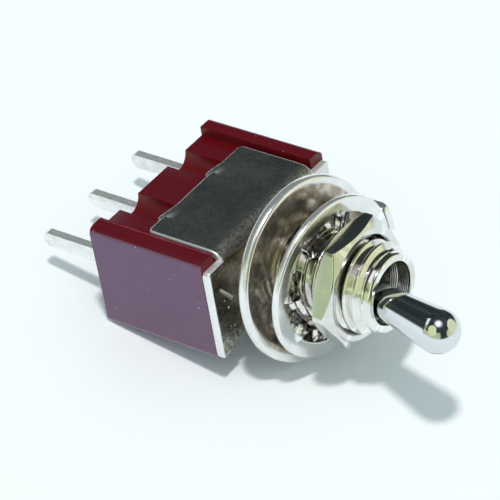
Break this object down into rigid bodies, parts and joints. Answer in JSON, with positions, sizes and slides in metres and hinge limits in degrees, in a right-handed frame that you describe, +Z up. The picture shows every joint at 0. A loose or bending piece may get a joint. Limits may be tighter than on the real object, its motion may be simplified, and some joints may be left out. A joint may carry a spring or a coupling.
{
  "type": "miniature toggle switch",
  "caption": "Miniature toggle switch for circuit boards: moulded case in a folded metal frame, threaded bushing with nut and washers, bat lever that throws a rocking contact, straight pins.",
  "frame": {"origin": "middle of the case's underside, in the plane of the circuit board that it sits on", "axes": "+Z up the bushing to the lever, X along the row of pins, Y across the case"},
  "size_m": [0.0132, 0.0122, 0.0298],
  "materials": {
    "case_plastic": "deep maroon moulded thermoset with a soft gloss",
    "seal_resin": "dark potting resin with a slight meniscus gloss",
    "frame_plate": "nickel-plated sheet steel, satin wings and bright sheared edges",
    "bushing_plate": "bright nickel plate on a turned and threaded bushing",
    "lever_chrome": "polished chrome",
    "spring_steel": "drawn spring wire",
    "plunger_plastic": "natural low-friction moulding",
    "contact_bronze": "rolled contact bronze strip",
    "contact_silver": "silver contact metal",
    "terminal_silver": "dull silver plate on stamped brass",
    "washer_plate": "bright nickel plate on stamped steel",
    "nut_plate": "bright nickel plate with a faint yellow cast"
  },
  "bodies": {
    "switch_body": {"case": "case_plastic", "terminal_seal": "seal_resin", "frame": "frame_plate", "bushing": "bushing_plate", "common_terminal": "terminal_silver", "end_terminal_a": "terminal_silver", "end_terminal_b": "terminal_silver", "fixed_contact_a": "contact_silver", "fixed_contact_b": "contact_silver", "locating_washer": "washer_plate"},
    "lever": {"toggle_lever": "lever_chrome", "lever_spring": "spring_steel"},
    "plunger": {"plunger": "plunger_plastic"},
    "rocker": {"rocker_contact": "contact_bronze", "rocker_button_a": "contact_silver", "rocker_button_b": "contact_silver"},
    "lock_washer": {"lock_washer": "washer_plate"},
    "nut": {"mounting_nut": "nut_plate"}
  },
  "joints": [
    {"name": "lever_tilt", "type": "hinge", "parent": "switch_body", "child": "lever", "pos_m": [0, 0, 0.014], "axis": [0, 1, 0], "range_deg": [0, 24]},
    {"name": "plunger_slide", "type": "slide", "parent": "lever", "child": "plunger", "axis": [-0.2079, 0, 0.9781], "range_m": [0, 0.0005], "stiffness_N_per_m": 200, "springref_m": -0.003, "deforming": ["lever_spring"]},
    {"name": "rocker_tilt", "type": "hinge", "parent": "switch_body", "child": "rocker", "pos_m": [0, 0, 0.003], "axis": [0, 1, 0], "range_deg": [-10, 0]},
    {"name": "nut_travel", "type": "slide", "parent": "switch_body", "child": "lock_washer", "axis": [0, 0, 1], "range_m": [-0.0003125, 0]},
    {"name": "nut_turn", "type": "hinge", "parent": "lock_washer", "child": "nut", "pos_m": [0, 0, 0.0146], "axis": [0, 0, 1], "range_deg": [-150, 0]}
  ],
  "couplings": [
    {"joint": "rocker_tilt", "follows": "lever_tilt", "ratio": -0.41667},
    {"joint": "nut_turn", "follows": "nut_travel", "rad_per_m": 8377.6}
  ]
}
